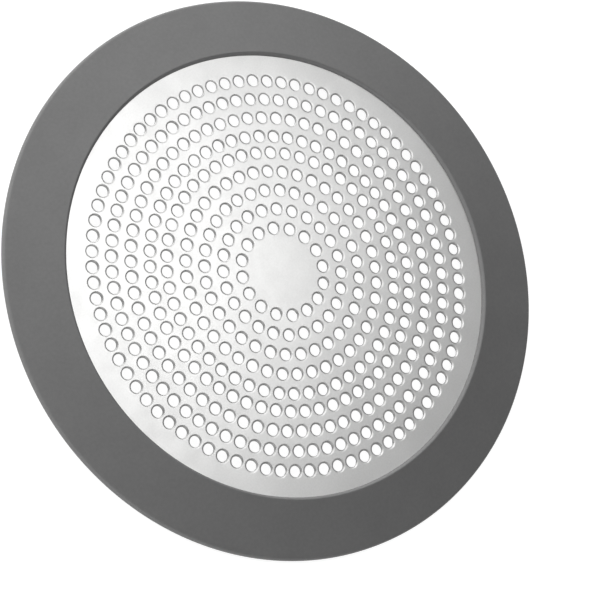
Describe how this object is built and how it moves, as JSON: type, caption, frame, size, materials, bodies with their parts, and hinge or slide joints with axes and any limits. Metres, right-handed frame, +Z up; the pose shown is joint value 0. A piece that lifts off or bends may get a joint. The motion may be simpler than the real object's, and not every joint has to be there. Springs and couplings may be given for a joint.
{
  "type": "shower drain strainer",
  "caption": "Low domed drain cover: a perforated stainless steel plate set in a sloping grey silicone rim that lies on the shower floor, lets water through and holds back hair.",
  "frame": {"origin": "on the floor, under the centre of the plate", "axes": "+Z up along the strainer's axis, +X along a radial line that has a hole of every ring"},
  "size_m": [0.1458, 0.1458, 0.0053],
  "materials": {
    "silicone": "matte",
    "steel": "satin"
  },
  "bodies": {
    "root": {"silicone_rim": "silicone", "strainer_plate": "steel"}
  },
  "joints": []
}
